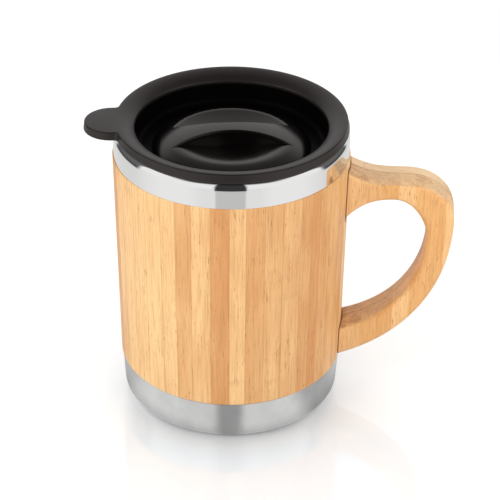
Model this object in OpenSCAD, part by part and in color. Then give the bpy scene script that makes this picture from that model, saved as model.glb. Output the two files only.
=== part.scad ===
// Bamboo travel mug: a steel liner in a bamboo sleeve, with a steel foot,
// a bamboo handle and a push-in lid that closes by turning its domed middle.
// The axis of the cup is Z, the table is at zero and the handle points along +X.

/* [Sleeve] */
// Outer radius of the bamboo sleeve at its top
sleeve_top_r = 42; // [38:0.1:46]
// How much smaller the sleeve's outer radius is at its foot
sleeve_taper = 1.2; // [0.6:0.1:1.6]
// Wall of the sleeve at its foot
sleeve_t = 1.9; // [1.6:0.1:2.4]
// Height of the sleeve
sleeve_h = 81.7; // [70:0.1:95]
// Chamfer on the sleeve's edges
sleeve_edge = 0.4; // [0.2:0.1:0.6]

/* [Liner] */
// Thickness of the liner's sheet
liner_t = 0.5; // [0.4:0.1:0.7]
// Height of the polished collar above the sleeve
collar_h = 9.5; // [8:0.1:12]
// How far the collar lies inside the sleeve's outer edge
collar_inset = 0.4; // [0.2:0.1:0.8]
// Width of the rolled lip, from the mouth to the outside of the collar
lip_w = 3.6; // [3:0.1:4]
// Room left in the mouth below the lid's plug
mouth_room = 1.5; // [1:0.1:3]
// Height of the shoulder below the mouth
neck_h = 3; // [2:0.1:5]
// Air gap between the liner and the sleeve, just below the shoulder
air_gap = 2.4; // [2.3:0.1:3.5]
// How much smaller the liner's radius is at its floor
liner_taper = 2.5; // [1:0.1:4]
// Radius of the corner between wall and floor
floor_corner_r = 5; // [3:0.5:8]

/* [Foot] */
// Thickness of the foot's sheet
foot_t = 0.6; // [0.4:0.1:0.8]
// Height of the foot below the sleeve
foot_h = 15.4; // [13:0.1:18]
// How far the foot lies inside the sleeve's lower edge
foot_inset = 0.3; // [0.2:0.1:0.8]
// How much smaller the foot's radius is above its corner
foot_taper = 0.7; // [0.3:0.1:1.5]
// Radius of the foot's lower corner
foot_corner_r = 3; // [2:0.1:4]
// Width of the ring that stands on the table
foot_ring_w = 1.8; // [1:0.1:3]
// Depth of the recess in the bottom
foot_recess = 1.5; // [1:0.1:2]
// Height of the spigot inside the sleeve
spigot_h = 4; // [3:0.1:4.4]
// Clearance of the spigot in the sleeve's bore
spigot_gap = 0.05; // [0.02:0.01:0.1]

/* [Liner support] */
// Thickness of the ring under the liner's floor
seat_t = 2; // [1.5:0.1:3]
// Inner radius of the ring that carries the liner
support_in_r = 12; // [8:0.5:20]
// Height of the ring's upright collar
support_h = 9; // [8:0.5:12]
// Thickness of the upright collar
support_t = 1.2; // [1:0.1:2]
// Gap between the liner and the collar
support_gap = 0.3; // [0.1:0.05:0.5]

/* [Handle] */
// Reach of the handle from the sleeve
handle_out = 37.6; // [32:0.1:45]
// Distance from the handle's upper root to the sleeve's top edge
handle_drop = 5.1; // [4:0.1:7]
// Height of the lower root above the sleeve's lower edge
handle_rise = 0.8; // [0.5:0.1:1.5]
// Width of the handle across the grip
handle_w = 14.5; // [12:0.1:18]
// Radius on the handle's long edges
handle_edge_r = 2; // [1:0.1:2.2]
// Gap at the glued joint between handle and sleeve
handle_joint = 0.05; // [0.02:0.01:0.15]

/* [Screws] */
// Radius of the screws that hold the handle
screw_r = 1.75; // [1.5:0.05:2]
// Length of a screw under its head
screw_len = 10.5; // [9:0.5:11]
// Radius of a screw's head
screw_head_r = 3; // [2.6:0.1:3.4]
// Height of a screw's head
screw_head_h = 1.6; // [1.2:0.1:1.8]
// How far a washer reaches past its screw's head
washer_rim = 0.6; // [0.3:0.1:0.8]
// Thickness of the washers
washer_t = 0.5; // [0.3:0.1:0.6]

/* [Lid rim] */
// Turn of the lid in the mouth, seen from above
lid_turn = 8; // [0:1:20]
// How far the flange's lower edge lies inside the collar
flange_inset = 0.25; // [0.1:0.05:0.6]
// How much smaller the flange is at its upper edge
flange_flare = 0.72; // [0.3:0.01:1]
// Height of the flange
flange_h = 3; // [2.6:0.1:4]
// Gap between the flange and the lip under it
flange_gap = 0.15; // [0.1:0.05:0.3]
// Radius on the flange's upper edge
flange_edge_r = 0.6; // [0.3:0.1:0.8]
// Height of the rim at the opening, above the flange's underside
rim_rise = 0.2; // [0.1:0.05:0.6]
// Thickness of the rim at the opening
rim_t = 1; // [0.8:0.1:1.2]
// Clearance between the plug's skirt and the mouth
skirt_gap = 0.6; // [0.4:0.05:0.9]
// Thickness of the skirt
skirt_t = 2.15; // [2:0.05:2.6]
// Depth of the skirt below the flange
skirt_h = 9.75; // [9:0.05:12]
// Radius of the pull tab's round end
tab_r = 9.9; // [7:0.1:12]
// Reach of the tab from the flange
tab_out = 10.35; // [9:0.05:12]
// Radius of the small fillets where the tab meets the flange
tab_fillet_r = 1.2; // [0.6:0.1:2]

/* [Lid seal] */
// Height of the seal
seal_h = 3; // [2.6:0.1:4]
// Depth of the seal's groove in the skirt
seal_groove = 1; // [0.8:0.1:1.2]
// Gap between the seal's lips and the mouth
seal_gap = 0.1; // [0.05:0.01:0.2]
// Distance from the flange down to the seal
seal_drop = 3.75; // [3:0.05:5]

/* [Lid bowl] */
// Thickness of the bowl's wall
bowl_t = 1.2; // [1:0.1:1.6]
// Gap round the bowl in the skirt
bowl_gap = 0.05; // [0.02:0.01:0.1]
// How far the bowl's underside lies above the skirt's lower end
bowl_recess = 0.2; // [0.1:0.05:0.3]
// Thickness of the bowl's floor
bowl_floor_t = 1.5; // [1.2:0.1:2]
// Radius of the corner between the bowl's wall and floor
bowl_corner_r = 2; // [1:0.1:3]
// Draft of the bowl's wall over its depth
bowl_draft = 0.5; // [0.2:0.1:0.8]

/* [Closure] */
// Width of the flat floor left round the closure
knob_margin = 6; // [5:0.1:8]
// Height of the dome above its edge
knob_rise = 7; // [6:0.1:8]
// Height of the dome's upright edge
knob_edge = 0.6; // [0.4:0.1:1]
// Running gap between the closure and the bowl's floor
knob_gap = 0.2; // [0.1:0.05:0.3]
// Width of the dome left round the scooped dish
dish_margin = 7.4; // [6:0.1:9]
// Height left under the dish's flat middle
dish_floor_t = 1.7; // [1.5:0.1:2.2]
// Radius of the dish's flat middle
dish_flat_r = 8; // [6:0.1:10]
// Half the grip bar's width in its middle
bar_half_w = 3.1; // [2.4:0.1:4]
// Radius of the bar's hollow sides, seen from above
bar_side_r = 53; // [45:1:70]
// Draft of the bar's sides over the dome's height
bar_draft = 1; // [0.4:0.1:1.6]
// Radius of the stem that the closure turns on
stem_r = 4; // [3.5:0.1:5]
// Running gap round the stem
stem_gap = 0.05; // [0.02:0.01:0.1]
// Width of the step that the retainer is pressed up to
stem_step = 1; // [0.6:0.1:1.4]
// Reach of the retainer past the stem
retainer_w = 4; // [3:0.1:6]
// Thickness of the retainer
retainer_t = 1.5; // [1.2:0.1:2]

/* [Sip port] */
// Half the angle of the port in the bowl's floor
port_half_deg = 16; // [10:1:18]
// How far the notch in the closure's edge reaches past the port on each side
notch_extra_deg = 2; // [1:1:6]
// Depth of the notch, measured from the closure's edge
notch_depth = 2.8; // [2.4:0.1:3.6]
// How far the port stays inside the closure's edge
port_margin = 0.7; // [0.6:0.1:1]
// Width of the gasket inside the port
gasket_w = 7.2; // [5:0.1:9]
// Thickness of the gasket
gasket_t = 0.9; // [0.7:0.1:1]
// Margin from the gasket to the closure's edge
gasket_margin = 0.5; // [0.3:0.1:0.6]
// Radius of the vent hole
vent_r = 0.8; // [0.5:0.1:1]
// Distance from the stem to the vent hole's edge
vent_gap = 2.2; // [1.5:0.1:3]

/* [Hidden] */
$fn = 96;
over = 1;
arc_steps = 10;
curve_steps = 16;
section_steps = 4;

steel = "silver";
bamboo = "burlywood";
black = "#1c1b1b";
rubber = "#2b2b2b";
cream = "#d8d4c8";

spotface_in = 0.3;
spotface_gap = 0.7;
screw_hole_gap = 0.25;
pilot_gap = 0.02;

sleeve_foot_r = sleeve_top_r - sleeve_taper;
sleeve_bore_r = sleeve_foot_r - sleeve_t;
sleeve_low_z = foot_h;
sleeve_top_z = sleeve_low_z + sleeve_h;
collar_r = sleeve_top_r - collar_inset;
mouth_r = collar_r - lip_w;
cup_h = sleeve_top_z + collar_h;
roll_r = lip_w / 2;
roll_z = cup_h - roll_r;

foot_top_r = sleeve_foot_r - foot_inset;
foot_low_r = foot_top_r - foot_taper;
foot_ring_r = foot_low_r - foot_corner_r;
spigot_r = sleeve_bore_r - spigot_gap;

flange_z = cup_h + flange_gap;
flange_r = collar_r - flange_inset;
flange_top_r = flange_r - flange_flare;
lid_top_z = flange_z + flange_h;
rim_open_z = flange_z + rim_rise;
skirt_low_z = flange_z - skirt_h;
skirt_r = mouth_r - skirt_gap;
skirt_in_r = skirt_r - skirt_t;
seal_top_z = flange_z - seal_drop;
seal_low_z = seal_top_z - seal_h;
seal_in_r = skirt_r - seal_groove;
bowl_out_r = skirt_in_r - bowl_gap;
rim_open_r = bowl_out_r - bowl_t;
bowl_top_z = rim_open_z - rim_t;
bowl_low_z = skirt_low_z + bowl_recess;
bowl_floor_z = bowl_low_z + bowl_floor_t;

mouth_low_z = skirt_low_z - mouth_room;
neck_low_z = mouth_low_z - neck_h;
wall_r = sleeve_bore_r - air_gap - liner_t;
floor_r = wall_r - liner_taper;
seat_z = foot_recess + foot_t + seat_t;
floor_z = seat_z + liner_t;

knob_r = rim_open_r - knob_margin;
knob_low_z = bowl_floor_z + knob_gap;
dome_low_z = knob_low_z + knob_edge;
dome_r = (knob_r * knob_r + knob_rise * knob_rise) / (2 * knob_rise);
dome_mid_z = dome_low_z + knob_rise - dome_r;
dish_r = knob_r - dish_margin;
dish_low_z = knob_low_z + dish_floor_t;
dish_lip_z = dome_mid_z + sqrt(dome_r * dome_r - dish_r * dish_r);
stem_end_r = stem_r - stem_step;
retainer_top_z = bowl_low_z - knob_gap;
retainer_low_z = retainer_top_z - retainer_t;
notch_half_deg = port_half_deg + notch_extra_deg;
port_in_r = knob_r - notch_depth;
port_out_r = knob_r - port_margin;
gasket_in_r = port_in_r - gasket_w;
vent_off = stem_r + vent_gap + vent_r;

washer_r = screw_head_r + washer_rim;
spotface_x = sleeve_bore_r + spotface_in;
head_x = spotface_x - washer_t;

// Where the handle's curves start, just inside the sleeve's skin
handle_root_x = sleeve_foot_r - 2 * sleeve_edge;
handle_reach = sleeve_top_r + handle_out;
handle_low_z = sleeve_low_z + handle_rise;
handle_h = sleeve_h - handle_rise - handle_drop;
// Heights of the two screws, as shares of the handle's height
screw_shares = [0.105, 0.927];

// Bezier points of the handle's outer and inner edge, as shares of its reach and of its height
outer_shares = [[0, 1], [0.21, 0.964], [0.39, 0.96], [0.56, 0.96], [0.86, 0.96], [1, 0.894],
    [1, 0.736], [1, 0.433], [0.586, 0.149], [0, 0]];
inner_shares = [[0, 0.77], [0.137, 0.855], [0.287, 0.902], [0.474, 0.902], [0.648, 0.902],
    [0.771, 0.822], [0.771, 0.683], [0.771, 0.453], [0.486, 0.255], [0, 0.15]];

function arc(x, z, r, from, to) =
    [for (i = [0:arc_steps]) let (a = from + (to - from) * i / arc_steps) [x + r * cos(a), z + r * sin(a)]];

function bezier(p, i, t) =
    p[i] * pow(1 - t, 3) + p[i + 1] * 3 * t * pow(1 - t, 2) + p[i + 2] * 3 * t * t * (1 - t) + p[i + 3] * t * t * t;

function edge_curve(shares) = let (
    p = [for (s = shares) [handle_root_x + s[0] * (handle_reach - handle_root_x), handle_low_z + s[1] * handle_h]])
    [for (i = [0, 3, 6]) for (k = [0:curve_steps - 1]) bezier(p, i, k / curve_steps), p[len(p) - 1]];

// Outline of a rounded bar of this depth and width, centred on its own middle
function round_bar(depth, width, r) =
    [for (q = [0:3]) for (k = [0:section_steps]) let (a = 90 * (q + k / section_steps),
        sx = (q == 0 || q == 3) ? 1 : -1, sy = q < 2 ? 1 : -1)
        [sx * (depth / 2 - r) + r * cos(a), sy * (width / 2 - r) + r * sin(a)]];

module turned(points) {
    rotate_extrude() polygon(points);
}

// A slice of a ring, centred on the -Y side
module ring_slice(in_r, out_r, low_z, high_z, half_deg) {
    translate([0, 0, low_z])
        rotate([0, 0, -90 - half_deg])
            rotate_extrude(angle = 2 * half_deg)
                translate([in_r, 0])
                    square([out_r - in_r, high_z - low_z]);
}

module sleeve_skin(gap) {
    translate([0, 0, sleeve_low_z])
        cylinder(h = sleeve_h, r1 = sleeve_foot_r + gap, r2 = sleeve_top_r + gap);
}

module at_each_screw() {
    for (share = screw_shares)
        translate([0, 0, handle_low_z + share * handle_h])
            rotate([0, 90, 0])
                children();
}

module inner_liner() {
    color(steel)
        turned(concat(
            [[0, seat_z]],
            arc(floor_r - floor_corner_r, floor_z + floor_corner_r, floor_corner_r + liner_t, -90, 0),
            [[wall_r + liner_t, neck_low_z], [mouth_r + liner_t, mouth_low_z]],
            arc(mouth_r + roll_r, roll_z, roll_r - liner_t, 180, 0),
            [[collar_r - liner_t, sleeve_top_z], [collar_r, sleeve_top_z]],
            arc(mouth_r + roll_r, roll_z, roll_r, 0, 180),
            [[mouth_r, mouth_low_z], [wall_r, neck_low_z]],
            arc(floor_r - floor_corner_r, floor_z + floor_corner_r, floor_corner_r, 0, -90),
            [[0, floor_z]]));
}

module bamboo_sleeve() {
    color(bamboo)
        difference() {
            turned([
                [sleeve_bore_r, sleeve_low_z],
                [sleeve_foot_r - sleeve_edge, sleeve_low_z],
                [sleeve_foot_r, sleeve_low_z + sleeve_edge],
                [sleeve_top_r, sleeve_top_z - sleeve_edge],
                [sleeve_top_r - sleeve_edge, sleeve_top_z],
                [sleeve_bore_r, sleeve_top_z]]);
            at_each_screw() {
                cylinder(h = sleeve_top_r + over, r = screw_r + screw_hole_gap);
                cylinder(h = spotface_x, r = washer_r + spotface_gap);
            }
        }
}

module base_cup() {
    color(steel)
        turned(concat(
            [[0, foot_recess], [foot_ring_r - foot_ring_w - foot_recess, foot_recess],
                [foot_ring_r - foot_ring_w, 0]],
            arc(foot_low_r - foot_corner_r, foot_corner_r, foot_corner_r, -90, 0),
            [[foot_top_r, sleeve_low_z], [spigot_r, sleeve_low_z],
                [spigot_r, sleeve_low_z + spigot_h], [spigot_r - foot_t, sleeve_low_z + spigot_h],
                [spigot_r - foot_t, sleeve_low_z - foot_t], [foot_top_r - foot_t, sleeve_low_z - foot_t]],
            arc(foot_low_r - foot_corner_r, foot_corner_r, foot_corner_r - foot_t, 0, -90),
            [[foot_ring_r - foot_ring_w + foot_t / 2, foot_t],
                [foot_ring_r - foot_ring_w - foot_recess + foot_t / 2, foot_recess + foot_t],
                [0, foot_recess + foot_t]]));
}

module liner_support() {
    low_z = foot_recess + foot_t;
    high_z = low_z + support_h;
    collar_in_r = floor_r + (wall_r - floor_r) * (high_z - floor_z) / (neck_low_z - floor_z)
        + liner_t + support_gap;
    disc_r = foot_ring_r - foot_ring_w - foot_recess;
    color(cream)
        difference() {
            turned([
                [support_in_r, low_z],
                [disc_r, low_z],
                [collar_in_r + support_t, seat_z],
                [collar_in_r + support_t, high_z],
                [support_in_r, high_z]]);
            turned(concat(
                [[0, seat_z]],
                arc(floor_r - floor_corner_r + support_gap, floor_z + floor_corner_r, floor_corner_r + liner_t, -90, 0),
                [[collar_in_r, high_z], [collar_in_r, high_z + over], [0, high_z + over]]));
        }
}

module handle() {
    outer = edge_curve(outer_shares);
    inner = edge_curve(inner_shares);
    rings = len(outer);
    sides = 4 * (section_steps + 1);
    points = [for (i = [0:rings - 1])
        let (across = outer[i] - inner[i], depth = norm(across), out = across / depth,
            mid = (outer[i] + inner[i]) / 2)
        for (s = round_bar(depth, handle_w, handle_edge_r))
            [mid[0] + out[0] * s[0], s[1], mid[1] + out[1] * s[0]]];
    faces = concat(
        [[for (k = [0:sides - 1]) k]],
        [for (i = [0:rings - 2]) for (k = [0:sides - 1]) let (n = (k + 1) % sides)
            each [[i * sides + k, (i + 1) * sides + k, (i + 1) * sides + n],
                [i * sides + k, (i + 1) * sides + n, i * sides + n]]],
        [[for (k = [sides - 1:-1:0]) (rings - 1) * sides + k]]);
    color(bamboo)
        difference() {
            polyhedron(points, faces);
            sleeve_skin(handle_joint);
            at_each_screw()
                cylinder(h = head_x + screw_len + over, r = screw_r + pilot_gap);
        }
}

module handle_screws() {
    slot_w = screw_head_h / 2;
    color(steel)
        at_each_screw()
            difference() {
                union() {
                    translate([0, 0, head_x - screw_head_h])
                        cylinder(h = screw_head_h, r1 = screw_head_r - screw_head_h / 2, r2 = screw_head_r);
                    translate([0, 0, head_x - screw_head_h / 2])
                        cylinder(h = screw_len - screw_r + screw_head_h / 2, r = screw_r);
                    translate([0, 0, head_x + screw_len - screw_r])
                        cylinder(h = screw_r, r1 = screw_r, r2 = screw_r / 3);
                }
                for (turn = [0, 90])
                    rotate([0, 0, turn])
                        translate([-screw_r, -slot_w / 2, head_x - screw_head_h - over])
                            cube([2 * screw_r, slot_w, over + screw_head_h / 2]);
            }
}

module handle_washers() {
    color(steel)
        at_each_screw()
            translate([0, 0, head_x])
                difference() {
                    cylinder(h = washer_t, r = washer_r);
                    translate([0, 0, -over])
                        cylinder(h = washer_t + 2 * over, r = screw_r + pilot_gap);
                }
}

module turned_lid() {
    rotate([0, 0, lid_turn])
        children();
}

module rim_hollow() {
    turned([
        [0, bowl_top_z - over],
        [rim_open_r, bowl_top_z - over],
        [rim_open_r, rim_open_z],
        [flange_top_r - flange_edge_r, lid_top_z],
        [flange_top_r - flange_edge_r, lid_top_z + over],
        [0, lid_top_z + over]]);
}

module pull_tab() {
    tab_x = flange_r + tab_out - tab_r;
    // centre of a fillet that touches the flange's circle and the tab's side
    fillet_y = tab_r + tab_fillet_r;
    fillet_x = sqrt(pow(flange_r + tab_fillet_r, 2) - fillet_y * fillet_y);
    translate([-tab_x, 0, flange_z]) {
        cylinder(h = flange_h - flange_edge_r, r = tab_r);
        translate([0, 0, flange_h - flange_edge_r])
            cylinder(h = flange_edge_r, r1 = tab_r, r2 = tab_r - flange_edge_r / 2);
    }
    translate([0, 0, flange_z])
        difference() {
            translate([-fillet_x, -fillet_y, 0])
                cube([fillet_x - rim_open_r, 2 * fillet_y, flange_h - flange_edge_r]);
            for (side = [-1, 1])
                translate([-fillet_x, side * fillet_y, -over])
                    cylinder(h = flange_h + 2 * over, r = tab_fillet_r);
        }
}

module lid_rim() {
    color(black)
        turned_lid()
            difference() {
                union() {
                    turned(concat(
                        [[skirt_in_r, skirt_low_z], [skirt_r - bowl_gap - seal_gap, skirt_low_z],
                            [skirt_r, skirt_low_z + seal_groove], [skirt_r, seal_low_z],
                            [seal_in_r, seal_low_z], [seal_in_r, seal_top_z], [skirt_r, seal_top_z],
                            [skirt_r, flange_z], [flange_r, flange_z]],
                        arc(flange_top_r - flange_edge_r, lid_top_z - flange_edge_r, flange_edge_r, 0, 90),
                        [[rim_open_r - rim_t, lid_top_z], [rim_open_r - rim_t, bowl_top_z],
                            [skirt_in_r, bowl_top_z]]));
                    pull_tab();
                }
                rim_hollow();
            }
}

module lid_seal() {
    lip_r = mouth_r - seal_gap;
    color(rubber)
        turned_lid()
            turned([
                [seal_in_r, seal_low_z],
                [skirt_r, seal_low_z],
                [lip_r, seal_low_z + seal_h / 5],
                [skirt_r, seal_low_z + seal_h * 2 / 5],
                [skirt_r, seal_low_z + seal_h * 3 / 5],
                [lip_r, seal_low_z + seal_h * 4 / 5],
                [skirt_r, seal_top_z],
                [seal_in_r, seal_top_z]]);
}

module lid_bowl() {
    in_low_r = rim_open_r - bowl_draft;
    color(black)
        turned_lid()
            difference() {
                turned(concat(
                    [[0, bowl_low_z], [bowl_out_r - bowl_draft, bowl_low_z],
                        [bowl_out_r, bowl_low_z + bowl_draft], [bowl_out_r, bowl_top_z],
                        [rim_open_r, bowl_top_z]],
                    arc(in_low_r - bowl_corner_r, bowl_floor_z + bowl_corner_r, bowl_corner_r, 0, -90),
                    [[0, bowl_floor_z]]));
                translate([0, 0, bowl_low_z - over])
                    cylinder(h = bowl_floor_t + 2 * over, r = stem_r + stem_gap);
                ring_slice(port_in_r, port_out_r, bowl_low_z - over, bowl_floor_z + over, port_half_deg);
                translate([0, vent_off, bowl_low_z - over])
                    cylinder(h = bowl_floor_t + 2 * over, r = vent_r);
            }
}

// What is scooped out on one side of the grip bar, which is the +Y side
module finger_scoop() {
    intersection() {
        turned([
            [0, dish_low_z],
            [dish_flat_r, dish_low_z],
            [dish_r, dish_lip_z],
            [dish_r + (dish_r - dish_flat_r), dish_lip_z + (dish_lip_z - dish_low_z)],
            [dish_r + (dish_r - dish_flat_r), lid_top_z + over],
            [0, lid_top_z + over]]);
        translate([0, bar_half_w + bar_side_r, dish_low_z - over])
            cylinder(h = lid_top_z + 2 * over - dish_low_z, r1 = bar_side_r - bar_draft, r2 = bar_side_r);
    }
}

module closure_knob() {
    core_w = bar_half_w;
    core_top_z = knob_low_z + knob_edge + knob_rise / 3;
    color(black)
        turned_lid()
            difference() {
                union() {
                    intersection() {
                        translate([0, 0, knob_low_z])
                            cylinder(h = knob_edge + knob_rise + over, r = knob_r);
                        translate([0, 0, dome_mid_z])
                            sphere(r = dome_r, $fn = 4 * $fn);
                    }
                    translate([0, 0, retainer_top_z])
                        cylinder(h = knob_low_z - retainer_top_z + over / 2, r = stem_r);
                    translate([0, 0, retainer_low_z])
                        cylinder(h = retainer_t + over / 2, r = stem_end_r);
                }
                finger_scoop();
                mirror([0, 1, 0])
                    finger_scoop();
                for (side = [0, 180])
                    rotate([0, 0, side])
                        translate([stem_r + bar_half_w, -core_w / 2, knob_low_z - over])
                            cube([dish_flat_r, core_w, core_top_z - knob_low_z + over]);
                ring_slice(port_in_r, knob_r + over, knob_low_z - over, lid_top_z, notch_half_deg);
                difference() {
                    translate([0, 0, knob_low_z - over])
                        cylinder(h = over + gasket_t - knob_gap / 2, r = knob_r - gasket_margin);
                    translate([0, 0, knob_low_z - 2 * over])
                        cylinder(h = 4 * over, r = gasket_in_r);
                }
                translate([0, vent_off, knob_low_z - over])
                    cylinder(h = over + knob_rise, r = vent_r);
            }
}

module closure_gasket() {
    gasket_low_z = knob_low_z - knob_gap / 2;
    color(rubber)
        turned_lid()
            difference() {
                translate([0, 0, gasket_low_z])
                    cylinder(h = gasket_t, r = knob_r - gasket_margin);
                translate([0, 0, gasket_low_z - over])
                    cylinder(h = gasket_t + 2 * over, r = gasket_in_r);
                ring_slice(port_in_r, knob_r + over, gasket_low_z - over, knob_low_z + gasket_t, notch_half_deg);
            }
}

module closure_retainer() {
    color(black)
        turned_lid()
            translate([0, 0, retainer_low_z])
                difference() {
                    cylinder(h = retainer_t, r = stem_r + retainer_w);
                    translate([0, 0, -over])
                        cylinder(h = retainer_t + 2 * over, r = stem_end_r + pilot_gap);
                }
}

inner_liner();
bamboo_sleeve();
base_cup();
liner_support();
handle();
handle_screws();
handle_washers();
lid_rim();
lid_seal();
lid_bowl();
closure_knob();
closure_gasket();
closure_retainer();
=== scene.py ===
# %% [markdown]
# # A bamboo travel mug
# The mug is a steel liner in a sleeve of glued bamboo strips, with a steel foot, a handle sawn from
# bamboo board and a black push-in lid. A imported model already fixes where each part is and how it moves,
# so this lesson only adds looks: finer meshes in nearly the same places, and a finish for each material.
# Lengths are in millimetres, and `mm` turns them into Blender's metres. X points along the handle and Z
# points up.

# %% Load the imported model
import math

import bmesh
import bpy
from mathutils import Matrix, Vector
from mathutils.geometry import interpolate_bezier


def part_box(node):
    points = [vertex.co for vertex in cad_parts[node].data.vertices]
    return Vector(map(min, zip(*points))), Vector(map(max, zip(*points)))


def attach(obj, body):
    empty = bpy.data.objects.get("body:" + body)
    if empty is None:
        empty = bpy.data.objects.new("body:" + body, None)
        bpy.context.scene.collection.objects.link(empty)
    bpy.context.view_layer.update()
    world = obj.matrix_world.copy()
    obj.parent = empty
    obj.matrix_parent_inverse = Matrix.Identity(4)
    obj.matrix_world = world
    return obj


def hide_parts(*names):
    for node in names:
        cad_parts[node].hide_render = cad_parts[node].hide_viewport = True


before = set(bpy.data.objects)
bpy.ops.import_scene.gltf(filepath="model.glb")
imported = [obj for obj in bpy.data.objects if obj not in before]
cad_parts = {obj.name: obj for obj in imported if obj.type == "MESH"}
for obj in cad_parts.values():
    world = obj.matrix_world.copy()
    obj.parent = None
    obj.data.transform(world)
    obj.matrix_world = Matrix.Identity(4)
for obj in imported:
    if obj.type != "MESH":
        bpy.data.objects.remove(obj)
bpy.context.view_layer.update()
mm = 0.001


def span(node):
    """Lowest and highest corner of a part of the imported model, in millimetres."""
    low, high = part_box(node)
    return low / mm, high / mm


# %% [markdown]
# ## Camera
# A camera is fitted to a photograph by its distance, its height and its focal length. This one stands
# about 66 cm away and looks down by 32 degrees, a little to the handle's side. The focal length in pixels
# times the sensor's width, over the picture's width, is the focal length in millimetres.

# %% Place the camera
picture_w = 500
focal_px = 1800
tilt = math.radians(31.9)
roll = math.radians(0.57)
turn_to_handle = math.radians(4.5)
camera_distance = 662
aim = Vector((0, 0, 45))
aim_right = 6.85
aim_up = 8.85

back = Vector((0, -math.cos(tilt), math.sin(tilt)))
up = Vector((0, math.sin(tilt), math.cos(tilt)))
right = Vector((1, 0, 0))
eye = aim + back * camera_distance + right * aim_right + up * aim_up

camera_data = bpy.data.cameras.new("camera")
camera_data.sensor_width = 36
camera_data.lens = focal_px * camera_data.sensor_width / picture_w
camera_data.clip_start = 0.01
camera = bpy.data.objects.new("camera", camera_data)
bpy.context.scene.collection.objects.link(camera)
look = Matrix((right, up, back)).transposed().to_4x4() @ Matrix.Rotation(roll, 4, "Z")
camera.matrix_world = Matrix.Rotation(turn_to_handle, 4, "Z") @ Matrix.Translation(eye * mm) @ look
bpy.context.scene.camera = camera
bpy.context.scene.view_settings.view_transform = "Standard"
print("lens", camera_data.lens)

# %% [markdown]
# ## Shader maths as Python
# A material is a graph of nodes, and a graph made by hand soon grows hard to read. A small class that
# wraps a socket lets a sum be written as a sum: each operator adds one Math node. All other nodes come
# from one method, `node`, which takes the node's type, its settings and the values or links of its
# sockets.


# %% A socket that can be added and multiplied
class Wire:
    def __init__(self, tree, socket):
        self.tree = tree
        self.socket = socket

    def node(self, kind, settings=None, sockets=None, output=0):
        made = self.tree.nodes.new("ShaderNode" + kind)
        for name, value in (settings or {}).items():
            if name == "stops":
                set_stops(made.color_ramp, value)
            else:
                setattr(made, name, value)
        for name, value in (sockets or {}).items():
            plug(self.tree, value, made.inputs[name])
        return Wire(self.tree, made.outputs[output])

    def also(self, output):
        return Wire(self.tree, self.socket.node.outputs[output])

    def math(self, operation, *values):
        return self.node("Math", {"operation": operation}, dict(enumerate(values)))

    def __add__(self, other): return self.math("ADD", self, other)
    def __radd__(self, other): return self.math("ADD", other, self)
    def __sub__(self, other): return self.math("SUBTRACT", self, other)
    def __rsub__(self, other): return self.math("SUBTRACT", other, self)
    def __mul__(self, other): return self.math("MULTIPLY", self, other)
    def __rmul__(self, other): return self.math("MULTIPLY", other, self)
    def __truediv__(self, other): return self.math("DIVIDE", self, other)
    def __rtruediv__(self, other): return self.math("DIVIDE", other, self)
    def __abs__(self): return self.math("ABSOLUTE", self)
    def __lt__(self, other): return self.math("LESS_THAN", self, other)
    def __gt__(self, other): return self.math("GREATER_THAN", self, other)


def plug(tree, value, socket):
    if isinstance(value, Wire):
        tree.links.new(value.socket, socket)
    elif socket.type == "RGBA" and len(value) == 3:
        socket.default_value = (*value, 1)
    else:
        socket.default_value = value


def set_stops(ramp, stops):
    while len(ramp.elements) < len(stops):
        ramp.elements.new(1)
    for element, (place, shade) in zip(ramp.elements, stops):
        element.position = place
        element.color = shade if len(shade) == 4 else (*shade, 1)


# %% Helpers on wires
to_deg = 180 / math.pi


def sine(value):
    return value.math("SINE", value)


def whole(value):
    return value.math("FLOOR", value)


def from_axis(x, y):
    """Distance from the Z axis."""
    squared = x * x + y * y
    return squared.math("SQRT", squared)


def angle(over, along):
    """The angle in radians whose tangent is over / along."""
    return over.math("ARCTAN2", over, along)


def ramp_up(value, start, end):
    """0 below start, 1 above end, smooth between them."""
    return value.node("MapRange", {"interpolation_type": "SMOOTHSTEP"},
                      {"Value": value, "From Min": start, "From Max": end})


def between(value, rise, fall):
    """1 between two soft edges, 0 outside them. Each edge is a pair, its start and its end."""
    return ramp_up(value, *rise) * (1 - ramp_up(value, *fall))


def vector(x, y, z):
    maker = next(part for part in (x, y, z) if isinstance(part, Wire))
    return maker.node("CombineXYZ", {}, {"X": x, "Y": y, "Z": z})


def separate(place):
    """The three parts of a vector."""
    parts = place.node("SeparateXYZ", {}, {"Vector": place})
    return [parts.also(axis) for axis in "XYZ"]


# %% Noise, chance and mixing
def noise(x, y, z, detail=2.0, roughness=0.5):
    """Soft noise with patches about 1 across. Dividing x, y and z by a size gives patches of that size."""
    place = vector(x, y, z)
    return place.node("TexNoise", {}, {"Vector": place, "Scale": 1.0, "Detail": detail,
                                       "Roughness": roughness})


def patches(x, y, z, size, detail=2.0):
    """Noise with patches of this many millimetres."""
    return noise(x / size, y / size, z / size, detail)


def chance(number):
    """A fixed random value from 0 to 1 for each whole number."""
    return number.node("TexWhiteNoise", {"noise_dimensions": "1D"}, {"W": number})


def mix(share, first, second):
    return share.node("Mix", {"data_type": "RGBA"}, {0: share, 6: first, 7: second}, output=2)


def bumped(height, depth):
    """A normal that tilts with a height, which is 1 where the surface rises by depth millimetres."""
    return height.node("Bump", {}, {"Strength": 1.0, "Distance": depth * mm, "Height": height})


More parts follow.
